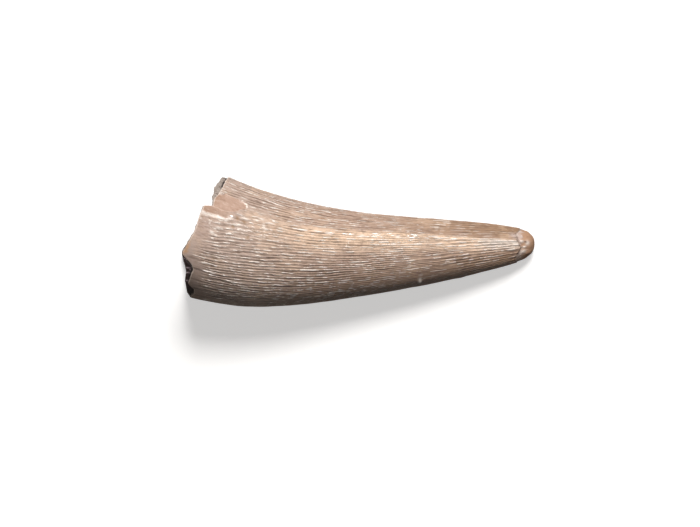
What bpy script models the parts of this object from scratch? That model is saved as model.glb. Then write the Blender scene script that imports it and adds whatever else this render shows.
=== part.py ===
"""A fossil reptile tooth: one hollow crown, broken off at its base and worn at its apex.

It lies on its flatter side on the plane z = 0, with its apex towards +X, its broken base
towards -X, and its concave side towards +Y. The origin is the middle of the bounding box's
lower face. The rules of its form read two things: back, the distance from the apex towards
the base along X, and turn, the angle round the section. Turn is 0 on the +Y side, 90 degrees
on top, 180 on the -Y side and 270 underneath. Lengths are in millimetres until a vertex is made.
"""

import math

import bmesh
import bpy

METRES = 0.001  # one millimetre

# The outline from above
LENGTH = 44.45  # apex to the longest tongue of the broken base
CONE_HALF_WIDTH = 2.42  # where the sides would meet the apex plane if it weren't rounded
TAPER = 0.149  # half width gained for each millimetre back from the apex
NOSE_EASE, NOSE_REACH = 0.84, 5.1  # how much slimmer the last stretch is, and how long it is
WAIST, WAIST_BACK, WAIST_REACH = 0.38, 23.9, 13.3  # a slight waist half way along
APEX_CAP, APEX_BLUNTNESS = 2.2, 2.5  # the rounded end's length, and 2 would be an ellipse
APEX_SIDE, LEAN = -0.446, 0.074  # the centreline's place at the apex, and its slope there
CURL, CURL_POWER = 5.97, 4.28  # how far the base curls towards +Y, and how late it does

# The section
RISE = 0.86  # height above the centreline over half width
DROP = 0.70  # depth below it, because the hidden side is the flatter one
KEEL_TURN, KEEL_SPREAD = 63.0, 13.0  # degrees: the rounded keel that runs to the apex
KEEL_HEIGHT = 0.055  # over half width
FACE_TURN, FACE_SPREAD, FACE_DIP = 32.0, 20.0, 0.05  # the flatter face above the keel
REST_DEPTH = 0.08  # rubbed off along the line that it lies on

# The broken base: (turn in degrees, distance back) of each corner of the outer edge.
# The gentler stretches are the break's sweep, and the short ones are its notches.
BREAK = [
    (5, 38.3), (15, 38.55), (33, 39.05), (45, 39.45), (57, 40.1), (64.5, 40.2), (67, 41.3),
    (71, 41.5), (78, 41.9), (88, 42.3), (94, 42.55), (99, 43.0), (109, 43.6), (115, 44.05),
    (117, 43.65), (121, 42.9), (126, 42.7), (134, 43.0), (144, 43.35), (151, 42.8), (162, 43.2),
    (175, 43.1), (189, 43.3), (200, 43.7), (213, 43.95), (224, 43.8), (234, 44.1), (244, 44.45),
    (250, 43.7), (256, 43.1), (265, 42.5), (270, 42.3), (280, 41.8), (291, 41.2), (296, 40.1),
    (305, 39.9), (313, 39.4), (326, 38.9), (346, 38.4),
]
WALL = 0.85  # wall thickness at the break
BEVEL_TURN, BEVEL_SPREAD, BEVEL = 38.0, 18.0, 0.85  # where the dentine outreaches the enamel
CAVITY_DEPTH = 18.0  # pulp cavity, from the longest tongue to its rounded end
CAVITY_FULLNESS = 0.75  # 1 would be a straight cone, and less is fuller

# The surface
RIDGES = 60  # enamel ridges round the base
RIDGE_HEIGHT = 0.15  # crest over valley
MERGE_BACK, MERGE_REACH = 13.0, 4.0  # here they merge in pairs, and this much either way
WAVER = 0.8  # degrees that the ridges wander sideways
COLLAR = 3.2  # the ridges fade out over this distance before the break, below the keel
ROUGH_TURN, ROUGH_SPREAD = 74.0, 10.0  # degrees: the flaked, uneven stretch of the keel
ROUGH_BACK, ROUGH_REACH, ROUGH_HEIGHT = 36.5, 5.0, 0.14
ENAMEL = 0.18  # enamel thickness, which shows as a ledge where it has come off
APEX_EDGE, APEX_RAGGED = 2.3, 0.35  # the worn apex is bare dentine as far back as this
SPALL_LENGTH = 4.0  # bare patch beside the notch above the keel
SPALL_FROM, SPALL_TO, SPALL_NARROWING = 45.0, 71.0, 17.0  # degrees

# The mesh
AROUND = 4 * RIDGES  # a crest, a valley and the two slopes between them
COARSE = AROUND // 4  # round the apex and the cavity, which have no ridges
OUTER_RINGS = (0, 0.05, 0.11, 0.18, 0.26, 0.35, 0.44, 0.54, 0.63, 0.72, 0.80, 0.86, 0.905,
               0.94, 0.97, 1)  # shares of the way from the enamel's edge to the break
SWEEP_START = 0.62  # the rings follow the break's notches from this share on
CAP_RINGS = (0.12, 0.45, 0.8)  # shares of the worn apex's length
CAVITY_RINGS = (0.08, 0.25, 0.45, 0.68, 0.88)  # shares of the way down the pulp cavity


def smoothstep(value, low, high):
    share = min(1.0, max(0.0, (value - low) / (high - low)))
    return share * share * (3 - 2 * share)


def hump(value, middle, spread):
    return math.exp(-(((value - middle) / spread) ** 2))


def half_width(back):
    """Half the tooth's width, without the rounding of the apex."""
    nose = NOSE_EASE * math.exp(-back / NOSE_REACH)
    return CONE_HALF_WIDTH + TAPER * back - nose - WAIST * hump(back, WAIST_BACK, WAIST_REACH)


def apex_rounding(back):
    """The share of the half width that the rounded apex leaves: 0 at its very end."""
    if back >= APEX_CAP:
        return 1.0
    short = 1 - back / APEX_CAP
    return (1 - short**APEX_BLUNTNESS) ** (1 / APEX_BLUNTNESS)


def centre_side(back):
    """Where the centreline lies along Y."""
    return APEX_SIDE - LEAN * back + CURL * (back / LENGTH) ** CURL_POWER


def section(turn):
    """The section's radius over the half width, with a keel on each side of the +Y face."""
    seen = turn % 360
    hidden = 360 - seen
    keel = hump(seen, KEEL_TURN, KEEL_SPREAD) + hump(hidden, KEEL_TURN, KEEL_SPREAD)
    face = hump(seen, FACE_TURN, FACE_SPREAD) + hump(hidden, FACE_TURN, FACE_SPREAD)
    return 1 + KEEL_HEIGHT * keel - FACE_DIP * face


def break_back(turn):
    """How far back from the apex the broken edge lies, from corner to corner of the break."""
    turn = turn % 360
    corners = [(BREAK[-1][0] - 360, BREAK[-1][1]), *BREAK, (BREAK[0][0] + 360, BREAK[0][1])]
    for (a, start), (b, end) in zip(corners, corners[1:]):
        if a <= turn <= b:
            return start + (end - start) * (turn - a) / (b - a)


def enamel_edge_back(turn):
    """The ragged edge where the worn apex starts."""
    angle = math.radians(turn)
    return APEX_EDGE + APEX_RAGGED * (math.sin(3 * angle + 0.6) + 0.6 * math.sin(7 * angle)) / 1.6


def collar(turn, back):
    """1 where the ridges stand at their full height, falling to 0 on the smooth collar."""
    below_keel = smoothstep(turn % 360, KEEL_TURN, KEEL_TURN + 25)
    edge = break_back(turn)
    smooth = 1 - below_keel * smoothstep(back, edge - COLLAR, edge - 0.4)
    return smooth * (1 - 0.6 * smoothstep(back, edge - 1, edge))


def ridges(index, turn, back):
    """Height of the ridged enamel over its own mean surface. The ridges are cosine waves."""
    single = smoothstep(back, MERGE_BACK - MERGE_REACH, MERGE_BACK + MERGE_REACH)
    fine = single * math.cos(math.pi * index / 2)
    merged = (1 - single) * math.cos(math.pi * index / 4)
    return 0.5 * RIDGE_HEIGHT * collar(turn, back) * (fine + merged)


def roughness(index, turn, back):
    """Height of the flaked, uneven enamel on the keel near the base."""
    patch = hump(turn % 360, ROUGH_TURN, ROUGH_SPREAD) * hump(back, ROUGH_BACK, ROUGH_REACH)
    return ROUGH_HEIGHT * patch * math.sin(5.3 * index) * math.cos(2.7 * back + index)


def spall(turn, back):
    """1 inside the patch beside the notch where the enamel has come off, and 0 outside it."""
    turn = turn % 360
    share = (break_back(turn) - back) / SPALL_LENGTH
    far_side = SPALL_TO - SPALL_NARROWING * max(0.0, share)
    across = smoothstep(turn, SPALL_FROM - 1, SPALL_FROM + 1)
    across *= 1 - smoothstep(turn, far_side - 1, far_side + 1)
    return across * (1 - smoothstep(share, 0.93, 1.03))


def point(turn, back, inset=0.0, scale=1.0):
    """A point of the tooth in metres: inset is measured inwards, and scale shrinks the section."""
    angle = math.radians(turn)
    half = half_width(back)
    radius = (half * apex_rounding(back) - inset) * section(turn) * scale
    tall = RISE if math.sin(angle) > 0 else DROP
    middle_height = DROP * half * section(270) - REST_DEPTH
    y = centre_side(back) + radius * math.cos(angle)
    z = middle_height + tall * radius * math.sin(angle)
    return (LENGTH - back) * METRES, y * METRES, max(0.0, z) * METRES


def turns(count):
    return [360 * index / count for index in range(count)]


def outer_ring(share):
    """A ring on the enamel, from the worn apex at share 0 to the break at share 1."""
    sweep = smoothstep(share, SWEEP_START, 1)
    mean_break = sum(break_back(turn) for turn in turns(COARSE)) / COARSE
    ring = []
    for index, turn in enumerate(turns(AROUND)):
        end = mean_break + sweep * (break_back(turn) - mean_break)
        start = enamel_edge_back(turn)
        back = start + share * (end - start)
        bare = spall(turn, back)
        relief = ridges(index, turn, back) + roughness(index, turn, back)
        height = (1 - bare) * relief - bare * ENAMEL
        wander = WAVER * math.sin(0.9 * back + math.radians(3 * turn)) * (1 - sweep)
        ring.append(point(turn + wander, back, -height if share else 0.0))
    return ring


def dentine_ring(share):
    """A ring on the worn apex, from its end at share 0 to just under the enamel at share 1."""
    return [point(turn, enamel_edge_back(turn) * share, ENAMEL * share) for turn in turns(COARSE)]


def mouth_back(turn, share=1.0):
    """How far back the broken dentine lies, at this share of the wall from outside to inside."""
    return break_back(turn) + BEVEL * share * hump(turn, BEVEL_TURN, BEVEL_SPREAD)


def shoulder_ring():
    """The ring where the broken enamel ends and the broken dentine under it starts."""
    return [point(turn, mouth_back(turn, 0.1) - 0.1, 1.6 * ENAMEL) for turn in turns(COARSE)]


def lip_ring():
    """The outer edge of the broken dentine, which stands out past the enamel at the bevel."""
    return [point(turn, mouth_back(turn), 2 * ENAMEL) for turn in turns(COARSE)]


def cavity_ring(share):
    """A ring on the pulp cavity's wall, from its mouth at share 0 towards its end at share 1."""
    deepest = LENGTH - CAVITY_DEPTH
    ring = []
    for turn in turns(COARSE):
        mouth = mouth_back(turn)
        back = mouth + share * (deepest - mouth)
        ring.append(point(turn, back, WALL * (1 - share), (1 - share) ** CAVITY_FULLNESS))
    return ring


def add_ring(mesh, points):
    return [mesh.verts.new(place) for place in points]


def stitch(mesh, ring, next_ring):
    """Closes the band between two rings. The next one may have a quarter of the first's points."""
    count, next_count = len(ring), len(next_ring)
    ratio = count // next_count
    for index in range(next_count):
        here, there = next_ring[index], next_ring[(index + 1) % next_count]
        run = [ring[(index * ratio + step) % count] for step in range(ratio + 1)]
        if ratio == 1:
            mesh.faces.new((run[0], run[1], there, here))
            continue
        for step in range(ratio):
            mesh.faces.new((run[step], run[step + 1], here if step < ratio / 2 else there))
        mesh.faces.new((run[ratio // 2], there, here))


def close_end(mesh, ring, place):
    tip = mesh.verts.new(place)
    for index, corner in enumerate(ring):
        mesh.faces.new((corner, ring[(index + 1) % len(ring)], tip))


def build_tooth():
    """The whole skin: over the apex, along the enamel, round the break and into the cavity."""
    mesh = bmesh.new()
    enamel = [add_ring(mesh, outer_ring(share)) for share in OUTER_RINGS]
    for ring, next_ring in zip(enamel[1:], enamel):
        stitch(mesh, ring, next_ring)
    apex = [add_ring(mesh, dentine_ring(share)) for share in reversed((*CAP_RINGS, 1.0))]
    for ring, next_ring in zip([enamel[0], *apex], apex):
        stitch(mesh, ring, next_ring)
    close_end(mesh, apex[-1], point(0, 0))
    rim = [shoulder_ring(), lip_ring()]
    inside = [*rim, *(cavity_ring(share) for share in (0.0, *CAVITY_RINGS))]
    cavity = [add_ring(mesh, ring) for ring in inside]
    first = len(mesh.faces)
    for ring, next_ring in zip([enamel[-1], *cavity], cavity):
        stitch(mesh, ring, next_ring)
    close_end(mesh, cavity[-1], point(0, LENGTH - CAVITY_DEPTH, 0, 0))
    mesh.faces.ensure_lookup_table()
    bmesh.ops.reverse_faces(mesh, faces=mesh.faces[first:])
    bmesh.ops.recalc_face_normals(mesh, faces=mesh.faces)
    return mesh


def centre_over_origin(mesh):
    """Moves the mesh so that its bounding box stands on the origin."""
    for axis in (0, 1):
        places = [vertex.co[axis] for vertex in mesh.verts]
        middle = (min(places) + max(places)) / 2
        for vertex in mesh.verts:
            vertex.co[axis] -= middle


def fossil_material():
    material = bpy.data.materials.new("fossil_enamel")
    material.use_nodes = True
    shader = material.node_tree.nodes["Principled BSDF"]
    shader.inputs["Base Color"].default_value = (0.45, 0.34, 0.27, 1)
    shader.inputs["Roughness"].default_value = 0.35
    shader.inputs["Metallic"].default_value = 0.0
    return material


def main():
    for leftover in list(bpy.data.objects):
        bpy.data.objects.remove(leftover)
    mesh = build_tooth()
    centre_over_origin(mesh)
    data = bpy.data.meshes.new("tooth")
    mesh.to_mesh(data)
    mesh.free()
    data.materials.append(fossil_material())
    data.shade_smooth()
    data.set_sharp_from_angle(angle=math.radians(35))
    tooth = bpy.data.objects.new("tooth", data)
    bpy.context.scene.collection.objects.link(tooth)


main()
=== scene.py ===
# %% [markdown]
# # A fossil reptile tooth
#
# The object is the crown of a marine reptile's tooth, turned to stone. It is a long, gently
# curled cone, 44 mm from its worn apex to its broken base. Thin enamel with fine ridges
# covers brown dentine, and the pulp cavity is open at the base.
#
# The scene is built in this order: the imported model, the sizes, the rules of the form, one
# Geometry Nodes tree for the whole skin, the finishes, the tooth itself, and then the floor,
# the light and the camera. All lengths in the rules are millimetres, because a tooth is
# measured in them, and the tree turns them into metres at its end.

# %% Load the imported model
import math

import bpy
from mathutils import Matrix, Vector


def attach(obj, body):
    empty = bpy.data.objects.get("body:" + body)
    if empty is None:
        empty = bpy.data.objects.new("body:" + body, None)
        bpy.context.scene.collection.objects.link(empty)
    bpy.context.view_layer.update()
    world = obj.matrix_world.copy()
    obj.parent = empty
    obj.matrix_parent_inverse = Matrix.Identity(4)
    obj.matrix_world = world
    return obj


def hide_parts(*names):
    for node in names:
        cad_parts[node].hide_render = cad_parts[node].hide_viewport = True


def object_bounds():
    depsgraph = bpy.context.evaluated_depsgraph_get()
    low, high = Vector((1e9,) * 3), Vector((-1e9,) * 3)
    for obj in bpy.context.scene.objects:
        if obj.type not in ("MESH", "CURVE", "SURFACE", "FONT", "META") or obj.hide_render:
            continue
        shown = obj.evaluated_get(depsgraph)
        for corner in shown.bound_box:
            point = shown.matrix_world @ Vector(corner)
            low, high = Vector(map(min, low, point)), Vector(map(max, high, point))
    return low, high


MM_PER_METRE = 1000
DEGREE = math.pi / 180  # in radians

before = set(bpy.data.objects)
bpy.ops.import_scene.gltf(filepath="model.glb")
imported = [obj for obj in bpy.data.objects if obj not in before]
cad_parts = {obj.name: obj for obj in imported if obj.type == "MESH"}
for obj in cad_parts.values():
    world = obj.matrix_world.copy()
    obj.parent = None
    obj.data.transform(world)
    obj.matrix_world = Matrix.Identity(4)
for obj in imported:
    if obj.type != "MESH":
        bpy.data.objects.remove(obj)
cad_low, cad_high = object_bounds()
print("packed model, mm:", [round(MM_PER_METRE * side, 2) for side in cad_high - cad_low])

# %% [markdown]
# ## Sizes
#
# The driving sizes come first, so that a reader can change one and see the whole tooth follow.
# Two numbers say where a point of the skin is. *Back* is the distance from the apex towards
# the base. *Turn* is the angle round the section: 0 on the concave side, 90 degrees on top,
# 180 on the convex side and 270 on the side that the tooth lies on.

# %% Sizes of the tooth in millimetres
LENGTH = 44.45
APEX_X = MM_PER_METRE * cad_high.x
SIDE_SHIFT = 0.259  # from the rules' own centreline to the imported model's middle

SIZES = {
    "Cone Half Width": 2.42,  # at the apex, before it is slimmed and rounded
    "Taper": 0.149,  # what the half width gains in each millimetre back
    "Rise": 0.86,  # height above the centreline, over the half width
    "Drop": 0.70,  # depth below the centreline, over the half width
    "Rest Depth": 0.08,  # depth of the flat strip that the tooth lies on
    "Keel Height": 0.058,  # over the half width
    "Face Dip": 0.05,  # over the half width
    "Curl": 5.97,  # how far the base bends towards the concave side
    "Enamel": 0.17,
    "Wall": 0.85,
    "Bevel": 0.78,  # how far broken dentine stands out past the enamel
    "Cavity Depth": 18.0,
    "Ridges": 112.0,  # round the base, of which the flatter face lacks four
    "Ridge Height": 0.04,
    "Collar": 3.1,  # width of the smooth collar along the break
}
print("sizes that drive the tooth:", len(SIZES))

# %% [markdown]
# ## The broken base
#
# The edge of the break follows no rule, so its corners are written down, going once round the
# section. The long, gentle stretches are the sweep of the break. The short, steep ones are a
# notch above the keel, a tongue below it and two bites under the tongue. The worn edge near
# the apex and the keel's course are written down in the same way. So are the outlines of a
# flat patch and a narrow strip beside the notch, where the enamel has also come off.

# %% Corners of the broken edge and of the worn apex
# (turn in degrees, distance back in millimetres)
BREAK = [
    (0, 38.4), (5, 38.45), (15, 38.65), (33, 39.1), (45, 39.45), (57, 40.1), (64.5, 40.2),
    (67, 41.3), (71, 41.5), (78, 41.9), (88, 42.3), (94, 42.55), (99, 43.0), (109, 43.6),
    (115, 44.05), (117, 43.65), (121, 42.9), (126, 42.7), (134, 43.0), (144, 43.35),
    (150, 42.65), (158, 42.65), (165, 43.0), (175, 43.1), (189, 43.3), (200, 43.7),
    (213, 43.95), (224, 43.8), (234, 44.1), (244, 44.45), (250, 43.7), (256, 43.1),
    (265, 42.5), (270, 42.3), (280, 41.8), (291, 41.2), (296, 40.1), (305, 39.9),
    (313, 39.4), (326, 38.9), (346, 38.4), (360, 38.4),
]
WORN = [
    (0, 1.95), (14, 1.86), (40, 2.2), (55, 2.45), (68, 2.29), (79, 2.16), (90, 1.9),
    (102, 1.78), (112, 2.03), (124, 2.3), (136, 2.52), (180, 2.3), (300, 2.1), (360, 1.95),
]
MEAN_BREAK = 42.0
CHIP_SIZE = 0.06  # how far small chips move the broken edge
WORN_RAGGEDNESS = 0.2  # the same for the worn edge
print("corners of the break and of the worn edge:", len(BREAK), len(WORN))

# %% The keel's course and the outlines of the bare places
# (distance back in millimetres, turn in degrees)
KEEL = [
    (0, 82), (4.5, 77), (10.8, 68), (17, 62.5), (21, 64), (24, 66), (30, 66.5), (36, 63),
    (45, 60.5),
]
PATCH_TOP = [
    (36.0, 46.5), (36.3, 46.4), (36.8, 44.5), (37.4, 43.3), (38.2, 42.8), (38.65, 42.3),
    (39.1, 46.7), (39.45, 47.6), (43.0, 47.6),
]
PATCH_FOOT = [
    (36.0, 53.5), (36.65, 57.0), (37.4, 62.1), (38.1, 64.1), (39.0, 65.0), (39.6, 64.3),
    (40.2, 64.7), (43.0, 64.7),
]
STRIP_FOOT = [
    (36.6, 57.5), (37.4, 65.4), (38.6, 71.2), (39.5, 70.3), (40.1, 70.9), (41.0, 71.6),
    (43.0, 71.5),
]

# Stretches along the tooth in millimetres back: (where a change starts, where it ends)
PATCH_START = (35.95, 36.15)
STRIP_START = (36.6, 39.6)
BORDER_FADE = (36.3, 37.2)
LEDGE_START = (37.4, 38.4)

# Degrees of turn
PATCH_SOFTNESS = 0.6
LEDGE_OFFSET = 1.7  # the ledge runs this far below the strip
LEDGE_SPREAD = 1.2
print("the keel swings over", max(turn for _, turn in KEEL) - KEEL[-1][1], "degrees")

# %% [markdown]
# ## Formulas as nodes
#
# The rules of the form are long sums and products, and a Math node has room for only one step.
# Wiring them by hand would hide the rule. A small class stands for *a number that changes over
# the surface*, and its plus, minus and times signs lay the Math nodes, so the rules below read
# like ordinary formulas. Geometry trees and material trees share these nodes, so one rule can
# shape the skin in the first and colour it in the second, and the two always agree.

# %% A field that lays its own Math nodes
class Field:
    """A number that changes over the surface, as the output socket of a node."""

    def __init__(self, tree, socket):
        self.tree = tree
        self.socket = socket

    def __add__(self, other):
        return calculate("ADD", self, other)

    __radd__ = __add__

    def __sub__(self, other):
        return calculate("SUBTRACT", self, other)

    def __rsub__(self, other):
        return calculate("SUBTRACT", other, self)

    def __mul__(self, other):
        return calculate("MULTIPLY", self, other)

    __rmul__ = __mul__

    def __truediv__(self, other):
        return calculate("DIVIDE", self, other)

    def __pow__(self, power):
        return calculate("POWER", self, power)

    def __mod__(self, size):
        return calculate("FLOORED_MODULO", self, size)


def plug(tree, value, socket):
    """Feeds a socket with a field, another socket or a plain value."""
    if isinstance(value, Field):
        value = value.socket
    if isinstance(value, bpy.types.NodeSocket):
        tree.links.new(value, socket)
    else:
        socket.default_value = value


def calculate(operation, *values):
    """One Math node."""
    tree = next(value.tree for value in values if isinstance(value, Field))
    node = tree.nodes.new("ShaderNodeMath")
    node.operation = operation
    for value, socket in zip(values, node.inputs):
        plug(tree, value, socket)
    return Field(tree, node.outputs[0])


print("signs that lay a node: + - * / ** %")


# %% Steps, bells and blends
def map_range(value, low, high, kind):
    """A Map Range node from low and high to 0 and 1, which stops at both."""
    node = value.tree.nodes.new("ShaderNodeMapRange")
    node.interpolation_type = kind
    plug(value.tree, value, node.inputs["Value"])
    plug(value.tree, low, node.inputs["From Min"])
    plug(value.tree, high, node.inputs["From Max"])
    return Field(value.tree, node.outputs[0])


def smooth(value, low, high):
    """Rises gently from 0 at low to 1 at high, and stays there."""
    return map_range(value, low, high, "SMOOTHSTEP")


def straight(value, low, high):
    """Rises in a straight line from 0 at low to 1 at high, and stays there."""
    return map_range(value, low, high, "LINEAR")


def hump(value, middle, spread):
    """A bell: 1 at the middle, and nearly 0 at twice the spread from it."""
    away = (value - middle) / spread
    return calculate("EXPONENT", away * away * -1)


def blend(share, first, second):
    """The first value at share 0 and the second at share 1."""
    return first + share * (second - first)


def larger(first, second):
    """The larger of two values."""
    return calculate("MAXIMUM", first, second)


print("a bell at twice its spread:", round(math.exp(-4), 3))


# %% Vectors, noise and curves
def place(tree, x, y, z):
    """Three fields as one vector socket."""
    node = tree.nodes.new("ShaderNodeCombineXYZ")
    for value, socket in zip((x, y, z), node.inputs):
        plug(tree, value, socket)
    return node.outputs[0]


def split(tree, vector):
    """One vector socket as three fields."""
    node = tree.nodes.new("ShaderNodeSeparateXYZ")
    tree.links.new(vector, node.inputs[0])
    return [Field(tree, socket) for socket in node.outputs]


def noise(tree, vector, scale=1.0, detail=0.0, roughness=0.5):
    """Cloudy noise, mostly between -1 and 1 and 0 on average."""
    node = tree.nodes.new("ShaderNodeTexNoise")
    plug(tree, vector, node.inputs["Vector"])
    plug(tree, scale, node.inputs["Scale"])
    plug(tree, detail, node.inputs["Detail"])
    plug(tree, roughness, node.inputs["Roughness"])
    return (Field(tree, node.outputs[0]) - 0.5) * 4.0


def follow(value, corners):
    """A Float Curve node with straight stretches from corner to corner."""
    low, high = corners[0][0], corners[-1][0]
    bottom = min(height for _, height in corners)
    top = max(height for _, height in corners)
    node = value.tree.nodes.new("ShaderNodeFloatCurve")
    points = node.mapping.curves[0].points
    for _ in corners[2:]:
        points.new(0.5, 0.5)
    for point, (along, height) in zip(points, corners):
        point.location = ((along - low) / (high - low), (height - bottom) / (top - bottom))
        point.handle_type = "VECTOR"
    node.mapping.update()
    plug(value.tree, straight(value, low, high), node.inputs["Value"])
    return bottom + (top - bottom) * Field(value.tree, node.outputs[0])


print("corners of the longest curve:", max(len(BREAK), len(WORN), len(KEEL)))

# %% [markdown]
# ## The rules of the form
#
# Each rule takes fields and gives a field. They are the outline seen from above, the place of
# the centreline, and the shape of the section with its keel. The real section is no circle:
# a flatter face lies between the keel and the concave side, and the rules say where.

# %% Numbers of the form
# Millimetres
NOSE_LOSS = 0.84  # what the half width lacks at the apex against a straight cone
NOSE_FADE = 5.1  # this loss falls to about a third over this length
WAIST_LOSS = 0.38  # what the half width lacks at the slim waist
WAIST_BACK = 23.9
WAIST_SPREAD = 13.3
ROUND_LENGTH = 1.95  # the stretch over which the apex is rounded
APEX_SIDE = 0.446  # how far the apex lies from the rules' own centreline
KEEL_START = 4.0  # the keel rises over this stretch
KEEL_WIDENS = (8, 24)  # and its foot widens over this one

# Plain numbers
ROUND_POWER = 2.5  # 2 would make the apex an ellipse
CURL_POWER = 4.28  # most of the curl is near the base
LEAN = 0.074  # sideways for each millimetre back

# Degrees of turn. What is on the hidden side is counted backwards from 360.
KEEL_SPREAD = 8
KEEL_SPREAD_GAIN = 5
HIDDEN_KEEL = 63
HIDDEN_KEEL_SPREAD = 13
FACE = 32
FACE_SPREAD = 20
straight_cone = 2 * (SIZES["Cone Half Width"] + SIZES["Taper"] * LENGTH)
print("a straight cone would be this wide at the base, mm:", round(straight_cone, 1))


# %% The form
def half_width(back, size):
    """Half the tooth's width, without the rounding of the apex."""
    nose = NOSE_LOSS * calculate("EXPONENT", back / -NOSE_FADE)
    waist = WAIST_LOSS * hump(back, WAIST_BACK, WAIST_SPREAD)
    return size["Cone Half Width"] + size["Taper"] * back - nose - waist


def apex_rounding(back):
    """The share of the half width that the rounded apex leaves."""
    short = larger(1 - back / ROUND_LENGTH, 0.0)
    return (1 - short ** ROUND_POWER) ** (1 / ROUND_POWER)


def centre_side(back, size):
    """Where the centreline lies to the side."""
    curl = size["Curl"] * (back / LENGTH) ** CURL_POWER
    return curl - APEX_SIDE - LEAN * back + SIDE_SHIFT


def keel_turn(back):
    """Where the keel runs. It swings towards the top of the tooth near the apex."""
    return follow(back, KEEL)


def section(turn, back, size):
    """The section's radius over the half width: a keel on each side of the flatter face."""
    hidden = 360 - turn
    spread = KEEL_SPREAD + KEEL_SPREAD_GAIN * smooth(back, *KEEL_WIDENS)
    keel = hump(turn, keel_turn(back), spread) + hump(hidden, HIDDEN_KEEL, HIDDEN_KEEL_SPREAD)
    keel = keel * smooth(back, 0, KEEL_START)
    face = hump(turn, FACE, FACE_SPREAD) + hump(hidden, FACE, FACE_SPREAD)
    return 1 + size["Keel Height"] * keel - size["Face Dip"] * face


# %% [markdown]
# ## Where a point is
#
# Noise has to run smoothly round the tooth, so it can't read the turn, which jumps from 360 to 0.
# It reads three lengths instead: back, across and up, on the plain cone without its curl. The
# mesh keeps them as an attribute, and the materials work the turn out of them at every pixel.

# %% A point of the skin
MARK_FALL = 3  # a mark has fallen to a tenth at half its length and width
CHIP_RADIUS = 6.3  # the ring on which the chips of the break are laid out, in millimetres


class Spot:
    """A point of the skin, in the numbers that the rules read."""

    def __init__(self, tree, back, across, up):
        self.tree = tree
        self.back = back
        self.across = across
        self.up = up
        self.turn = (calculate("ARCTAN2", up, across) * (180 / math.pi)) % 360

    def reach(self):
        """The distance from the tooth's axis."""
        return (self.across * self.across + self.up * self.up) ** 0.5

    def on_ring(self, radius, seed):
        """A vector on a ring of this radius, for noise that changes with the turn alone."""
        reach = self.reach()
        return place(self.tree, self.across / reach * radius, self.up / reach * radius, seed)

    def noise(self, along, around, detail=0.0, roughness=0.5, seed=0.0):
        """Noise with its own number of clouds to a millimetre along and around the tooth."""
        vector = place(self.tree, self.back * along + seed, self.across * around, self.up * around)
        return noise(self.tree, vector, 1.0, detail, roughness)

    def mark(self, turn, back, length, width):
        """1 at a place on the skin, and a tenth at half this length and width from it."""
        around = (self.turn - turn) * self.reach() * (DEGREE * MARK_FALL / width)
        along = (self.back - back) * (MARK_FALL / length)
        return calculate("EXPONENT", (around * around + along * along) * -1)


def broken_back(spot):
    """How far back the broken edge lies: the corners, with small chips between them."""
    chips = noise(spot.tree, spot.on_ring(CHIP_RADIUS, 0.0), 1.1, 3.0, 0.6)
    return follow(spot.turn, BREAK) + chips * CHIP_SIZE


def worn_back(spot):
    """How far back the enamel starts, behind the worn apex."""
    chips = noise(spot.tree, spot.on_ring(1.0, 3.0), 5.0, 3.0, 0.6)
    return follow(spot.turn, WORN) + chips * WORN_RAGGEDNESS


print("a mark at half its length:", round(math.exp(-(MARK_FALL / 2) ** 2), 2))


# %% The bare places
def past_edge(turn, edge):
    """0 above an edge of a bare place and 1 below it."""
    return smooth(turn, edge - PATCH_SOFTNESS, edge + PATCH_SOFTNESS)


def bare_patches(spot):
    """Where enamel is gone, in a patch and a strip, then its pale border and its bright ledge.

    The ledge is bright as a painted highlight, where the step below the strip faces the lamp.
    """
    wave = spot.noise(2.2, 2.2, 2.0)
    turn = spot.turn + wave * 0.5
    strip_foot = follow(spot.back, STRIP_FOOT)
    below_top = past_edge(turn, follow(spot.back, PATCH_TOP))
    below_foot = past_edge(turn, follow(spot.back, PATCH_FOOT))
    below_strip = past_edge(turn, strip_foot)
    patch = below_top * (1 - below_foot) * smooth(spot.back + wave * 0.05, *PATCH_START)
    strip = below_foot * (1 - below_strip) * smooth(spot.back, *STRIP_START)
    border = patch * (1 - patch) * (4 - 3 * smooth(spot.back, *BORDER_FADE))
    ledge = hump(turn, strip_foot + LEDGE_OFFSET, LEDGE_SPREAD) * smooth(spot.back, *LEDGE_START)
    return patch, strip, border, ledge


print("corners round the bare places:", len(PATCH_TOP) + len(PATCH_FOOT) + len(STRIP_FOOT))

# %% [markdown]
# ## Enamel ridges
#
# Just over a hundred ridges stand round the base, about 0.4 mm apart. Towards the apex there
# is room for fewer, so they merge in pairs, twice, each pair at its own place. They wander,
# break off and start again. Separate strips would be far too many, and a noise alone gives
# ridges that run only a few millimetres. Here they are one cosine wave round the tooth. The
# wave of half as many ridges is the same wave taken at half the angle, so merging is a blend
# from one to the other.

# %% The rule of the ridges
BASE_RADIUS = 7.1  # the mean of the base's half width and half height, in millimetres
FIRST_MERGING = (10.0, 13.5)  # millimetres back
SECOND_MERGING = (1.5, 4.5)
GROOVE_SHARPNESS = 1.6

# Between the notch and the tongue the ridges turn aside, ever more towards the base
DRIFT = 0.075  # degrees for each square millimetre past its start
DRIFT_START = 29  # millimetres back
DRIFT_TURN = 88
DRIFT_SPREAD = 26


def ridge_wave(slow, first, second):
    """-1 in the grooves and 1 on the crests, from the cosine of the slowest wave.

    First and second are 1 where no pair has merged yet, and 0 where it has.
    """
    half = 2 * slow * slow - 1
    full = 2 * half * half - 1
    return blend(first, blend(second, slow, half), full)


def groove_depth(wave, sharpness):
    """0 on the crests and 1 in the grooves, which are narrower where they are sharper."""
    return larger((1 - wave) / 2, 0.0) ** sharpness


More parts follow.
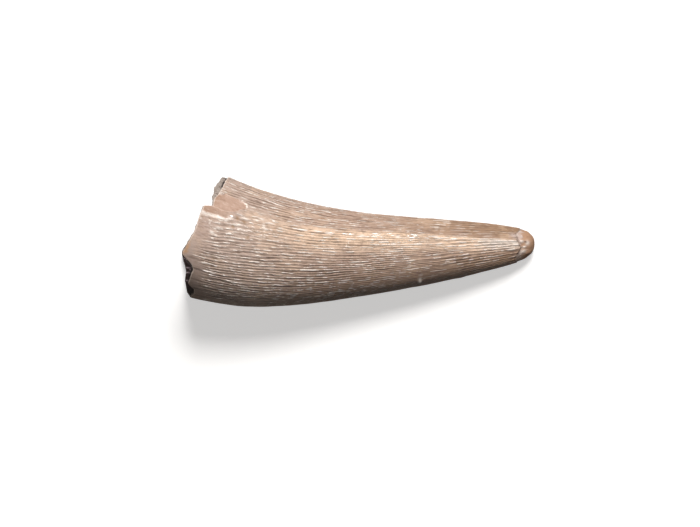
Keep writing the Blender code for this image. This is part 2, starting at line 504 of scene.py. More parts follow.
def ridge_angle(spot, angle, size):
    """The angle of the slowest wave. It wanders, and the flatter face has one wave less."""
    wander = spot.noise(0.10, 0.3, 1.0) * 0.4 + spot.noise(0.15, 1.8, 1.0, 0.5, 1.0) * 0.3
    wander = wander + spot.noise(0.6, 2.2, 1.0) * 0.045
    sparser = smooth(spot.turn, 5, 70)
    near_base = larger(spot.back - DRIFT_START, 0.0)
    drift = near_base * near_base * DRIFT * hump(spot.turn, DRIFT_TURN, DRIFT_SPREAD) * DEGREE
    waves = (angle - drift) * (size["Ridges"] / 4) - sparser * 2 * math.pi
    return waves + wander * (math.pi / 2)


def merging_shares(spot, side, up):
    """1 where no pair of ridges has merged yet and 0 where it has, for the first and the second."""
    stagger = noise(spot.tree, place(spot.tree, side * 5, up * 5, spot.back * 0.03), 1.0, 1.0)
    first = smooth(spot.back + stagger * 5, *FIRST_MERGING)
    return first, smooth(spot.back + stagger * 2.5, *SECOND_MERGING)


print("ridge spacing at the base, mm:", round(2 * math.pi * BASE_RADIUS / SIZES["Ridges"], 2))

# %% [markdown]
# ## Small marks
#
# A few pits, two raised flakes, the palest chips of the crests and painted glints along the
# keel follow no rule, so each is written down with its place and its size. A pit is a bell
# pushed into the relief, and the same bell colours it in the material, so that its shape and its
# colour stay together. One pit, beside the raised fleck, is partly painted shade.

# %% Small marks in the enamel
# (turn, distance back, length, width, depth), where a rise has a depth below 0
PITS = [
    (39.2, 26.7, 0.8, 0.65, 0.22),
    (147.3, 27.2, 0.5, 0.5, 0.14),
    (67.8, 37.2, 0.75, 0.75, 0.13),
    (69.4, 36.4, 0.9, 0.65, 0.12),
    (76.2, 37.74, 0.6, 0.6, 0.08),
    (75.5, 35.1, 0.9, 0.45, 0.10),
    (82.4, 35.93, 0.75, 0.65, 0.07),
    # beside the fleck: its brown paint is partly the fleck's painted shade
    (144.4, 14.7, 0.4, 0.4, 0.10),
]
RISES = [
    (148.0, 14.5, 0.6, 1.5, -0.32),
    (179.6, 9.4, 1.3, 1.3, -0.07),
]

# pale chips, the fleck, a scratch, and painted glints along the keel and the flaked stretch:
# (turn, distance back, length, width)
PALE_CHIPS_AND_GLINTS = [
    (148.0, 14.5, 0.6, 1.5), (66.2, 36.2, 1.4, 0.4), (64.8, 34.8, 0.9, 0.4),
    (68.5, 33.95, 0.6, 0.4), (71.3, 33.71, 0.9, 0.4), (73.0, 37.0, 1.2, 0.3),
    (81.7, 39.52, 0.9, 0.35), (87.2, 40.26, 0.8, 0.5), (50.8, 36.05, 0.35, 0.9),
    (46.8, 36.2, 0.6, 0.3), (79.0, 23.7, 0.16, 0.5), (75.0, 23.45, 0.16, 0.5),
    (71.5, 23.25, 0.16, 0.5), (83.3, 39.94, 0.5, 0.3), (81.3, 39.08, 0.4, 0.3),
    (87.5, 40.37, 0.6, 0.3), (88.3, 39.82, 0.5, 0.3), (62.0, 34.2, 0.9, 0.35),
    (64.3, 33.2, 0.7, 0.3), (67.6, 31.9, 0.8, 0.3), (64.4, 27.4, 0.9, 0.35),
    (65.3, 25.9, 1.3, 0.35), (64.8, 23.7, 0.6, 0.3), (65.3, 21.8, 1.0, 0.3),
    (65.9, 17.3, 0.9, 0.4), (76.2, 17.8, 1.0, 0.45),
]
BRUISE = (58, 2.45, 2.2, 1.5)
print("pits, rises and pale marks:", len(PITS), len(RISES), len(PALE_CHIPS_AND_GLINTS))

# %% [markdown]
# ## The skin as one grid
#
# The real crown is one skin: over the worn apex, along the enamel, round the broken rim and
# down into the pulp cavity. It could be lofted from curves or sculpted. A flat grid wrapped by
# formulas is chosen, because each grid line then runs along the tooth as its ridges do, and a
# fine relief can be added by the same formulas. The grid's X is the way round. Its Y is the way
# along, shared out between the stretches below.

# %% Rings of the grid
AROUND = 520  # between four and five faces across each ridge
APEX_RINGS = 16
OUTER_RINGS = 138
RIM_RINGS = 9
CAVITY_RINGS = 16
ENAMEL_START = APEX_RINGS + 1  # one ring up the ledge from the dentine to the enamel
ENAMEL_END = ENAMEL_START + OUTER_RINGS
RIM_END = ENAMEL_END + RIM_RINGS
ALL_RINGS = RIM_END + CAVITY_RINGS
SEAM_TURN = 270.0  # the grid's two edges meet underneath
SEAM_GAP = 0.0004  # points nearer than this are merged, in millimetres
RING_CROWDING = 0.5  # how much closer than their mean the rings stand at the enamel's ends
SWEEP_START = 0.62  # from this share of the enamel on, the rings turn into line with the break


def apex_share(ring):
    """0 at the apex and 1 at the foot of the enamel's ledge."""
    return straight(ring, 0, APEX_RINGS)


def rim_share(ring):
    """0 at the enamel's broken edge and 1 at the inner edge of the wall."""
    return straight(ring, ENAMEL_END, RIM_END)


def cavity_share(ring):
    """0 at the mouth of the cavity and 1 at its deep end."""
    return straight(ring, RIM_END, ALL_RINGS)


def grid_shares(tree):
    """The flat grid, the angle of each point and the ring that it stands on."""
    grid = tree.nodes.new("GeometryNodeMeshGrid")
    grid.inputs["Vertices X"].default_value = AROUND + 1
    grid.inputs["Vertices Y"].default_value = ALL_RINGS + 1
    position = tree.nodes.new("GeometryNodeInputPosition")
    along_x, along_y, _ = split(tree, position.outputs[0])
    angle = ((along_x + 0.5) * 360 + SEAM_TURN) * DEGREE
    return grid.outputs["Mesh"], angle, (along_y + 0.5) * ALL_RINGS


def ring_backs(ring, worn, broken, lip, size):
    """How far back each ring lies, from the apex to the break and back into the cavity."""
    outer = straight(ring, ENAMEL_START, ENAMEL_END)
    outer = outer - calculate("SINE", outer * 2 * math.pi) * (RING_CROWDING / (2 * math.pi))
    last = blend(smooth(outer, SWEEP_START, 1.0), MEAN_BREAK, broken)
    deepest = LENGTH - size["Cavity Depth"]
    back = worn * apex_share(ring) * apex_share(ring)
    back = back + outer * (last - worn) + lip
    return back + cavity_share(ring) * (deepest - broken - lip)


print("triangles, about:", 2 * AROUND * ALL_RINGS)

# %% [markdown]
# ## Rim, crevice and wall
#
# Where the base broke, dentine stands out past the enamel, and on the concave side a dark
# crevice runs between the two. The wall is thin, and behind it the skin turns into the cavity.
# A Boolean could cut all this, but it would leave long thin faces. Here each ring is moved back
# or inwards by a rule instead, so the grid stays even.

# %% Numbers of the rim and the wall
# Degrees of turn, where 0 is the concave side
CREVICE = 8
CREVICE_SPREAD = 24
LIP = 38
LIP_SPREAD = 18

# Millimetres
CREVICE_STEP = 0.2  # how far back the crevice pushes the dentine
CREVICE_DEPTH = 0.6
FRACTURE_SIZE = 0.10
RING_PITCH = 0.13  # the rim's rings stand about this far apart, for its noise
RIM_STEP = 0.28  # the dentine lies this far under the enamel at the rim
RIM_SLOPE = 0.06
CRUST_HEIGHT = 0.07  # of what is left of the enamel on the worn apex
print("crevice, degrees wide:", 2 * CREVICE_SPREAD)


# %% The rim, the crevice and the wall
def signed(turn):
    """The turn from -180 to 180, for a hump that lies across 0."""
    return (turn + 180) % 360 - 180


def crevice_share(turn):
    """1 where a dark crevice runs between the enamel's edge and the dentine."""
    return hump(signed(turn), CREVICE, CREVICE_SPREAD)


def rim_lip(spot, turn, ring, size):
    """How far the broken dentine stands out past the enamel, beyond the crevice."""
    rim = rim_share(ring)
    stands_out = hump(signed(turn), LIP, LIP_SPREAD)
    stands_out = stands_out + hump(signed(turn), CREVICE, LIP_SPREAD) * 0.6
    bevel = size["Bevel"] * stands_out * smooth(rim, 0.25, 0.55)
    crevice = CREVICE_STEP * crevice_share(turn) * smooth(rim, 0.11, 0.33)
    fracture = spot.noise(1.6, 1.6, 3.0, 0.65, 5.0) * FRACTURE_SIZE * smooth(rim, 0.05, 0.3)
    return bevel + crevice + fracture


def wall_inset(spot, ring, size):
    """How far dentine lies under the enamel's surface, and how much the cavity narrows."""
    rim = rim_share(ring)
    cavity = cavity_share(ring)
    worn = 1 - straight(ring, APEX_RINGS, ENAMEL_START)
    inset = size["Enamel"] * 0.6 * worn * smooth(apex_share(ring), 0.0, 0.9)
    crust = spot.noise(1.7, 1.7, 2.0, 0.6, 7.0) * CRUST_HEIGHT
    inset = inset - crust * worn * smooth(apex_share(ring), 0, 0.4)
    inset = inset + RIM_STEP * smooth(rim, 0.0, 0.2) + RIM_SLOPE * smooth(rim, 0.2, 0.55)
    inset = inset + (size["Wall"] - (RIM_STEP + RIM_SLOPE)) * smooth(rim, 0.5, 1.0)
    inset = inset + CREVICE_DEPTH * crevice_share(spot.turn) * hump(rim, 0.2, 0.07)
    return inset * (1 - cavity), (1 - cavity) ** 0.75


print("rings in the rim and in the cavity:", RIM_RINGS, CAVITY_RINGS)

# %% [markdown]
# ## Relief of the enamel
#
# The ridges are only 0.04 mm high. They break off, fade on the smooth collar along the break,
# and end where enamel is missing. A displacement map would need an unwrapped skin, so the
# relief is a sum of rules: ridges, fine grain, slow waves, the bare places and the small marks.

# %% The relief
# Millimetres
FINE_RELIEF = 0.008
SLOW_RELIEF = 0.04
FLAKED_RELIEF = 0.03
STRIP_DEPTH = 0.09

# Degrees of turn: (where a change starts, where it ends)
COLLAR_STARTS = (68, 88)
COLLAR_ENDS = (320, 350)
COLLAR_NARROWS = (105, 135)

# The flaked, glittering stretch of the keel: degrees of turn, then millimetres back
FLAKED_TURN = 74
FLAKED_SPREAD = 9
FLAKED_START = (28, 36)


def rough_stretch(spot):
    """1 on the flaked, glittering stretch of the keel near the base."""
    return hump(spot.turn, FLAKED_TURN, FLAKED_SPREAD) * smooth(spot.back, *FLAKED_START)


def ridge_strength(spot, ring, patch, strip, to_edge, size):
    """How high the ridges stand, from 0 to 1, and where the smooth collar is."""
    broken_up = smooth(spot.noise(0.5, 2.0, 1.0), -0.7, 0.3)
    wave = spot.noise(0.2, 1.0, 1.0, 0.5, 9.0)
    collar = smooth(spot.turn, *COLLAR_STARTS) * (1 - smooth(spot.turn, *COLLAR_ENDS))
    reach = size["Collar"] * (1 - 0.15 * smooth(spot.turn, *COLLAR_NARROWS))
    collar = collar * (1 - smooth(to_edge + wave * 0.4, 0.15 * reach, reach))
    on_enamel = smooth(ring, APEX_RINGS + 0.5, APEX_RINGS + 1.5)
    strength = (0.3 + 0.7 * broken_up) * (1 - 0.85 * collar)
    return strength * (1 - patch) * (1 - 0.8 * strip) * on_enamel, collar


def enamel_relief(spot, depth, strength, collar, patch, strip, size):
    """Height of the enamel's surface over its own mean, in millimetres."""
    rough = rough_stretch(spot)
    relief = size["Ridge Height"] * strength * (0.3 - depth)
    relief = relief + spot.noise(1.6, 3.0, 2.0, 0.6) * FINE_RELIEF * (1 - collar * 0.7)
    relief = relief + spot.noise(0.25, 0.3, 1.0, 0.5, 2.0) * SLOW_RELIEF
    relief = relief + spot.noise(1.1, 2.4, 2.0, 0.6, 4.0) * FLAKED_RELIEF * rough * (1 - patch)
    relief = relief - patch * size["Enamel"] - strip * STRIP_DEPTH
    for turn, back, length, width, sink in PITS + RISES:
        relief = relief - sink * spot.mark(turn, back, length, width)
    return relief


print("ridge height and enamel, mm:", SIZES["Ridge Height"], SIZES["Enamel"])

# %% [markdown]
# ## The tree of the whole skin
#
# The steps above are now joined: the sizes come in as named inputs, the grid is wrapped round
# the plain cone, ridges and relief are worked out there, and each point is set on the curled
# form. The modifier needs no hand edits after that. What the materials have to know, such as
# the ridges' wave, is stored on the mesh, so that they colour exactly what was shaped.

# %% Start and end of the tree
def start_tree():
    """An empty tree with the sizes as its named inputs, and those inputs as fields."""
    tree = bpy.data.node_groups.new("Tooth skin", "GeometryNodeTree")
    for name, value in SIZES.items():
        socket = tree.interface.new_socket(name, in_out="INPUT", socket_type="NodeSocketFloat")
        socket.default_value = value
    tree.interface.new_socket("Skin", in_out="OUTPUT", socket_type="NodeSocketGeometry")
    entry = tree.nodes.new("NodeGroupInput")
    return tree, {name: Field(tree, entry.outputs[name]) for name in SIZES}


def store(tree, geometry, name, value, kind="FLOAT_VECTOR", domain="POINT"):
    """Keeps a field on the mesh, so that a material can read it."""
    node = tree.nodes.new("GeometryNodeStoreNamedAttribute")
    node.data_type = kind
    node.domain = domain
    plug(tree, geometry, node.inputs["Geometry"])
    node.inputs["Name"].default_value = name
    plug(tree, value, node.inputs["Value"])
    return node.outputs[0]


def finish_skin(tree, skin, settled, enamel, dentine):
    """Moves the points into place, closes the seam and gives each face its material."""
    moved = tree.nodes.new("GeometryNodeSetPosition")
    tree.links.new(skin, moved.inputs["Geometry"])
    tree.links.new(settled, moved.inputs["Position"])
    closed = tree.nodes.new("GeometryNodeMergeByDistance")
    closed.inputs["Distance"].default_value = SEAM_GAP
    outwards = tree.nodes.new("GeometryNodeFlipFaces")
    metres = tree.nodes.new("GeometryNodeTransform")
    metres.inputs["Scale"].default_value = (1 / MM_PER_METRE,) * 3
    rounded = tree.nodes.new("GeometryNodeSetShadeSmooth")
    realized = tree.nodes.new("GeometryNodeRealizeInstances")
    coat = tree.nodes.new("GeometryNodeSetMaterial")
    coat.inputs["Material"].default_value = enamel
    core = tree.nodes.new("GeometryNodeSetMaterial")
    core.inputs["Material"].default_value = dentine
    chosen = tree.nodes.new("GeometryNodeInputNamedAttribute")
    chosen.data_type = "BOOLEAN"
    chosen.inputs["Name"].default_value = "bare"
    tree.links.new(chosen.outputs[0], core.inputs["Selection"])
    leave = tree.nodes.new("NodeGroupOutput")
    chain = [moved, closed, outwards, metres, rounded, realized, coat, core, leave]
    for node, following in zip(chain, chain[1:]):
        tree.links.new(node.outputs[0], following.inputs[0])


print("inputs of the tree:", ", ".join(SIZES))


# %% From the grid to the tooth
def wrap_grid(tree, side, up, ring, size):
    """Each grid point's spot on the plain cone, and how far it is from the broken edge."""
    unit = Spot(tree, straight(ring, 0, ALL_RINGS), side, up)
    at_rim = Spot(tree, ring * RING_PITCH, side * CHIP_RADIUS, up * CHIP_RADIUS)
    broken = broken_back(unit)
    lip = rim_lip(at_rim, unit.turn, ring, size)
    back = ring_backs(ring, worn_back(unit), broken, lip, size)
    half = half_width(back, size)
    return Spot(tree, back, side * half, up * half), broken - back


def set_on_form(spot, side, up, ring, relief, size):
    """Where a point ends up: on the section, round the curled centreline, above the floor."""
    half = half_width(spot.back, size)
    inset, shrink = wall_inset(spot, ring, size)
    outside = 1 - smooth(ring, ENAMEL_END, ENAMEL_END + 1)
    form = section(spot.turn, spot.back, size)
    radius = (half * apex_rounding(spot.back) - inset + relief * outside) * form * shrink
    tall = blend(calculate("GREATER_THAN", up, 0.0), size["Drop"], size["Rise"])
    x = APEX_X - spot.back
    y = centre_side(spot.back, size) + radius * side
    z = size["Drop"] * half - size["Rest Depth"] + tall * radius * up
    return place(spot.tree, x, y, larger(z, 0.0))


def store_looks(tree, skin, ring, spot, waves, merging):
    """Keeps on the mesh what the materials read."""
    bare = calculate("LESS_THAN", ring, APEX_RINGS + 0.4)
    bare = bare + calculate("GREATER_THAN", ring, ENAMEL_END + 0.4)
    skin = store(tree, skin, "along", place(tree, spot.back, spot.across, spot.up))
    skin = store(tree, skin, "ridge", place(tree, *waves))
    skin = store(tree, skin, "merging", place(tree, *merging))
    skin = store(tree, skin, "wall", place(tree, rim_share(ring), 0.0, 0.0))
    return store(tree, skin, "bare", bare, "BOOLEAN", "FACE")


def build_tooth_tree(enamel, dentine):
    """The whole skin, from the sizes to the faces with their materials."""
    tree, size = start_tree()
    skin, angle, ring = grid_shares(tree)
    side = calculate("COSINE", angle)
    up = calculate("SINE", angle)
    spot, to_edge = wrap_grid(tree, side, up, ring, size)
    patch, strip, _, _ = bare_patches(spot)
    strength, collar = ridge_strength(spot, ring, patch, strip, to_edge, size)
    wave_angle = ridge_angle(spot, angle, size)
    slow = calculate("COSINE", wave_angle)
    first, second = merging_shares(spot, side, up)
    depth = groove_depth(ridge_wave(slow, first, second), GROOVE_SHARPNESS)
    relief = enamel_relief(spot, depth, strength, collar, patch, strip, size)
    settled = set_on_form(spot, side, up, ring, relief, size)
    waves = (slow, calculate("SINE", wave_angle), strength)
    skin = store_looks(tree, skin, ring, spot, waves, (first, second, collar))
    finish_skin(tree, skin, settled, enamel, dentine)
    return tree


print("rings from apex to cavity:", ALL_RINGS + 1)

# %% [markdown]
# ## Shared effects
#
# Enamel and dentine are both stone now, and two effects show on both. *Stone grain* is the
# cloudy colour and the fine pitting of any mineral surface. *Iron stain* is the orange-brown
# that groundwater left in patches. A third, *broken edge*, is a ragged line of even width: the
# enamel has it twice, pale along the break and brown along the worn edge. Each is a node group
# with named sockets, built once and placed with its own values.

# %% Tools for materials and node groups
def mix(tree, share, first, second):
    """Two colours blended by a share, as a colour socket."""
    node = tree.nodes.new("ShaderNodeMix")
    node.data_type = "RGBA"
    plug(tree, share, node.inputs["Factor"])
    for value, socket in ((first, node.inputs[6]), (second, node.inputs[7])):
        plug(tree, (*value, 1.0) if isinstance(value, tuple) else value, socket)
    return node.outputs[2]


def lay_coats(tree, colour, coats):
    """Lays coats of colour over each other. Each is a share and a colour."""
    for share, coat in coats:
        colour = mix(tree, share, colour, coat)
    return colour


def start_group(name, inputs, outputs):
    """A shader node group with these sockets, given as name and kind."""
    group = bpy.data.node_groups.new(name, "ShaderNodeTree")
    for socket, kind in inputs.items():
        group.interface.new_socket(socket, in_out="INPUT", socket_type="NodeSocket" + kind)
    for socket, kind in outputs.items():
        group.interface.new_socket(socket, in_out="OUTPUT", socket_type="NodeSocket" + kind)
    return group, group.nodes.new("NodeGroupInput"), group.nodes.new("NodeGroupOutput")


def use_group(tree, group, **values):
    """Places a group in a tree. A socket's name is its keyword, with its spaces as underlines."""
    node = tree.nodes.new("ShaderNodeGroup")
    node.node_tree = group
    for name, value in values.items():
        value = (*value, 1.0) if isinstance(value, tuple) else value
        plug(tree, value, node.inputs[name.replace("_", " ")])
    return node


print("blender", bpy.app.version_string)


# %% The three groups
def stone_grain_group():
    """Clouds of a few millimetres, and grain as fine as the socket Grains says."""
    inputs = {"Position": "Vector", "Grains": "Float"}
    outputs = {"Clouds": "Float", "Grain": "Float"}
    group, entry, leave = start_group("stone_grain", inputs, outputs)
    position = entry.outputs["Position"]
    clouds = noise(group, position, 0.35, 3.0, 0.6)
    grain = noise(group, position, Field(group, entry.outputs["Grains"]), 3.0, 0.65)
    plug(group, clouds, leave.inputs["Clouds"])
    plug(group, grain, leave.inputs["Grain"])
    return group


def iron_stain_group():
    """Stains a colour in patches, which are larger where the socket Amount is higher."""
    inputs = {"Position": "Vector", "Colour": "Color", "Stain": "Color", "Amount": "Float"}
    group, entry, leave = start_group("iron_stain", inputs, {"Colour": "Color"})
    patches = noise(group, entry.outputs["Position"], 0.9, 4.0, 0.65)
    share = smooth(patches + Field(group, entry.outputs["Amount"]) * 2.0, 0.6, 1.6)
    stained = mix(group, share, entry.outputs["Colour"], entry.outputs["Stain"])
    plug(group, stained, leave.inputs["Colour"])
    return group


def broken_edge_group():
    """1 on a ragged line where the distance is 0, and 0 past its width."""
    inputs = {"Position": "Vector", "Distance": "Float", "Width": "Float"}
    group, entry, leave = start_group("broken_edge", inputs, {"Share": "Float"})
    ragged = noise(group, entry.outputs["Position"], 2.5, 2.0) * 0.35 + 1
    width = Field(group, entry.outputs["Width"]) * larger(ragged, 0.3)
    distance = calculate("ABSOLUTE", Field(group, entry.outputs["Distance"]))
    plug(group, 1 - smooth(distance, width * 0.5, width), leave.inputs["Share"])
    return group


STONE_GRAIN = stone_grain_group()
IRON_STAIN = iron_stain_group()
BROKEN_EDGE = broken_edge_group()
print("shared groups:", [group.name for group in (STONE_GRAIN, IRON_STAIN, BROKEN_EDGE)])


# %% What both materials read and feed
BUMP_UNIT = 1 / MM_PER_METRE  # a bump height of 1 is one millimetre


def new_material(name):
    """A material with nodes, and its tree."""
    material = bpy.data.materials.new(name)
    material.use_nodes = True
    return material, material.node_tree


def read_attribute(tree, name):
    """A vector that the mesh keeps."""
    node = tree.nodes.new("ShaderNodeAttribute")
    node.attribute_name = name
    return node.outputs["Vector"]


def read_grain(tree, grains):
    """The clouds and the grain of the stone."""
    position = read_attribute(tree, "along")
    grain = use_group(tree, STONE_GRAIN, Position=position, Grains=grains)
    return Field(tree, grain.outputs["Clouds"]), Field(tree, grain.outputs["Grain"])


def feed_shader(tree, colour, roughness, height):
    """Feeds the Principled shader and its bump, whose height is in millimetres."""
    shader = tree.nodes["Principled BSDF"]
    plug(tree, colour, shader.inputs["Base Color"])
    plug(tree, roughness, shader.inputs["Roughness"])
    bump = tree.nodes.new("ShaderNodeBump")
    bump.inputs["Distance"].default_value = BUMP_UNIT
    plug(tree, height, bump.inputs["Height"])
    tree.links.new(bump.outputs[0], shader.inputs["Normal"])
    return shader


print("one unit of bump, m:", BUMP_UNIT)

# %% [markdown]
# ## Enamel
#
# Fossil enamel is pinkish tan and satin. It has a brown line in each groove, partly fine mud
# and partly painted shade, which is stronger on the side away from the lamp. Its crests are
# rubbed to broken dashes, which are painted pale as glints. It is cream along the keel, partly
# paler enamel and partly painted sheen, and towards the apex the keel carries a painted
# highlight, while the top there is kept paler as painted light. It is browner towards the apex,
# and smooth and greyer on the collar, with threads of mud below the tongue. The side away from
# the lamp is darkened with painted shade. One stretch beside the notch is flaked, and its
# flakes are painted pale as glitter. A strip of image could hold all this, but it would stretch
# on a cone, so every mark is worked out from the place on the tooth instead. The glints need a
# sharp and a soft shine side by side, so a thin clear coat lies on the rubbed crests alone.

# %% Colours of the enamel
TAN = (0.515, 0.36, 0.28)
CREAM = (0.84, 0.605, 0.44)
BASE_PINK = (0.565, 0.445, 0.385)
APEX_TAN = (0.335, 0.20, 0.115)
COLLAR_GREY = (0.44, 0.315, 0.265)
# brown of mud, and of the painted shade on the side away from the lamp
MUD_AND_SHADE_BROWN = (0.225, 0.13, 0.078)
GROOVE_BROWN = (0.12, 0.07, 0.045)
# pale of chalky chips and crumbs, and of the painted glints
PALE_CHALK_AND_GLINT = (0.94, 0.85, 0.78)
PATCH_PINK = (0.49, 0.325, 0.25)
PATCH_BROWN = (0.42, 0.265, 0.19)
STAIN_ORANGE = (0.56, 0.33, 0.19)
EDGE_PALE = (0.86, 0.74, 0.66)
# colour of the painted highlight along the keel near the apex
KEEL_HIGHLIGHT = (0.97, 0.71, 0.52)
WORN_BROWN = (0.27, 0.18, 0.125)
APEX_MAUVE = (0.55, 0.43, 0.385)

# Stretches in millimetres back: (where a change starts, where it ends)
APEX_TO_TAN = (1, 24)
TAN_TO_PINK = (24, 38)
KEEL_CREAM_STARTS = (1, 2.5)
KEEL_CREAM_ENDS = (28, 38)
KEEL_HIGHLIGHT_ENDS = (14, 28)
KEEL_WARMS = (4.5, 9)
SHADE_DEEPENS = (4, 14)
SHADE_FADES = (22, 36)
DULL_SIDE_ENDS = (17, 27)
DULL_ABOVE_KEEL_ENDS = (7, 15)
BARE_BROWNS = (38.4, 40.2)

# Degrees of turn: (where a change starts, where it ends)
SHADED_SIDE = (95, 145)
DULL_SIDE = (102, 140)
LIT_SIDE_ENDS = (85, 125)
THREADS_START = (100, 125)
LIT_TOP = 92
LIT_TOP_SPREAD = 28
TONGUE = 107
TONGUE_SPREAD = 12

# Degrees from the keel, below 0 on the side of the flatter face
CREAM_STARTS = (-7, -1)
CREAM_BLUR = 6  # the first of these moves away by this much towards the base
CREAM_ENDS = (2, 32)
DULL_ABOVE_KEEL = (-8, -2)

# Millimetres
BROKEN_LINE = 0.15  # width of the pale line along the break
WORN_LINE = 0.2  # width of the brown line along the worn edge
GRAIN_HEIGHT = 0.006
LINE_HEIGHT = 0.008
CREST_HEIGHT = 0.02
DASH_HEIGHT = 0.04
FLAKE_HEIGHT = 0.018

# The shine of the enamel and of its coat
GROUND_ROUGHNESS = 0.74
GLOSS_SMOOTHS = 0.57  # what the roughness loses where the enamel is rubbed
ENAMEL_IOR = 1.45
ENAMEL_SPECULAR = 0.38
COAT_SHARE = 0.45
COAT_ROUGHNESS = 0.2
COAT_IOR = 1.6
print("darkest and palest colour of the enamel:", GROOVE_BROWN, PALE_CHALK_AND_GLINT)


# %% What the enamel reads at a point
class EnamelSpot:
    """A point of the enamel, with all that the steps of its finish read."""

    def __init__(self, tree):
        self.tree = tree
        self.position = read_attribute(tree, "along")
        self.spot = Spot(tree, *split(tree, self.position))
        self.clouds, self.fine = read_grain(tree, 2.6)
        self.read_ridges()
        patch, strip, self.border, self.ledge = bare_patches(self.spot)
        self.bare = larger(patch, strip)
        self.rough = rough_stretch(self.spot) * (1 - self.bare)
        self.to_edge = broken_back(self.spot) - self.spot.back
        self.keel = keel_turn(self.spot.back)
        self.short = self.spot.noise(1.2, 4.4, 1.0, 0.6, 12.0)
        self.mottled = self.spot.noise(1.2, 2.4, 3.0, 0.7, 11.0)

    def read_ridges(self):
        """The ridges, worked out again at every pixel: all waves, the slowest, and the rest."""
        slow, other, self.strength = split(self.tree, read_attribute(self.tree, "ridge"))
        first, second, self.collar = split(self.tree, read_attribute(self.tree, "merging"))
        self.slow = slow / (slow * slow + other * other) ** 0.5
        self.wave = ridge_wave(self.slow, first, second)

    def keel_band(self):
        """1 on the cream band along the keel, then 1 on its bright part towards the apex.

        The band is partly paler enamel and partly painted sheen, and its bright part is a painted
        highlight.
        """
        back = self.spot.back
        turn = self.spot.turn
        blurred = smooth(back, *KEEL_HIGHLIGHT_ENDS) * CREAM_BLUR
        band = smooth(turn, self.keel + CREAM_STARTS[0] - blurred, self.keel + CREAM_STARTS[1])
        band = band * (1 - smooth(turn, self.keel + CREAM_ENDS[0], self.keel + CREAM_ENDS[1]))
        band = band * smooth(back, *KEEL_CREAM_STARTS) * (1 - smooth(back, *KEEL_CREAM_ENDS))
        return band, band * (1 - smooth(back, *KEEL_HIGHLIGHT_ENDS))

    def ridge_lines(self):
        """The ridges as they show: uneven, and weak on the collar and in the bare places."""
        uneven = self.spot.noise(0.3, 4.4, 2.0, 0.6, 3.0)
        lines = self.wave * (0.55 + 0.6 * self.strength) + uneven * 0.8
        return lines * (1 - 0.8 * self.collar) * (1 - 0.35 * self.rough) * (1 - self.bare)


print("stored for the enamel: along, ridge, merging")


# %% The enamel's ground
def ground_colour(here, keel_cream_and_sheen, keel_highlight):
    """Tan: browner at the apex, pinker at the base, cream on the keel, grey on the collar.

    The cream is partly painted sheen, and the keel's bright part is a painted highlight. Near the
    apex the lit top keeps less brown, as painted light. The side away from the lamp gets painted
    shade.
    """
    tree = here.tree
    back = here.spot.back
    turn = here.spot.turn
    cloudy_back = back + here.clouds * 2
    at_apex = 1 - smooth(cloudy_back, *APEX_TO_TAN)
    colour = mix(tree, smooth(cloudy_back, *TAN_TO_PINK) * 0.6, TAN, BASE_PINK)
    keel_highlight_colour = mix(tree, smooth(back, *KEEL_WARMS), PALE_CHALK_AND_GLINT, KEEL_HIGHLIGHT)
    # Painted light: near the apex the top, where the key lamp falls, takes less of the apex's
    # brown.
    lit_top = hump(turn, LIT_TOP, LIT_TOP_SPREAD)
    # Painted shade: the side away from the key lamp is darkened towards brown, less at the very
    # apex and towards the base.
    shaded = smooth(turn, *SHADED_SIDE) * (1 - 0.6 * smooth(back, *SHADE_FADES))
    shaded = shaded * (0.15 + 0.85 * smooth(back, *SHADE_DEEPENS))
    return lay_coats(tree, colour, [
        (at_apex * (1 - 0.7 * lit_top), APEX_TAN),
        # the cream band is partly paler enamel and partly painted sheen, and its part near the apex
        # is a painted highlight
        (keel_cream_and_sheen * 0.9, CREAM),
        (keel_highlight * 0.85, keel_highlight_colour),
        (here.collar * 0.8, COLLAR_GREY),
        (smooth(here.clouds, 0.0, 0.7) * 0.3, COLLAR_GREY),
        (smooth(here.clouds, 0.0, -0.7) * 0.3, CREAM),
        (shaded * 0.85, MUD_AND_SHADE_BROWN),
        (smooth(here.fine, 0.0, -0.9) * 0.25, MUD_AND_SHADE_BROWN),
    ])


def add_groove_mud_and_shade(here, colour, lines, keel_highlight):
    """Mud: lines in the grooves, a little in the dips, and thin threads on the collar.

    The groove lines are partly painted shade: wider and darker on the side away from the lamp.
    """
    turn = here.spot.turn
    mud = here.spot.noise(0.25, 1.4, 2.0, 0.6, 5.0)
    # Painted shade: on the side away from the key lamp the groove lines widen and darken.
    in_light = 1 - smooth(turn, *LIT_SIDE_ENDS)
    groove = smooth(lines, -0.15 - 0.15 * in_light, -0.75) * smooth(mud, -0.6, 0.45)
    groove = groove * (1 - 0.45 * keel_highlight)
    groove = groove * (1 - 0.2 * in_light) * (1 - 0.6 * here.rough)
    threads = smooth(here.slow, -0.8, -0.97) * smooth(mud, -0.6, 0.4)
    threads = threads * here.collar * smooth(turn, *THREADS_START)
    return lay_coats(here.tree, colour, [
        (groove, GROOVE_BROWN),
        (smooth(here.short, 0.0, -0.8) * 0.35, MUD_AND_SHADE_BROWN),
        (threads, GROOVE_BROWN),
    ])


print("the shaded side begins between these turns:", SHADED_SIDE)


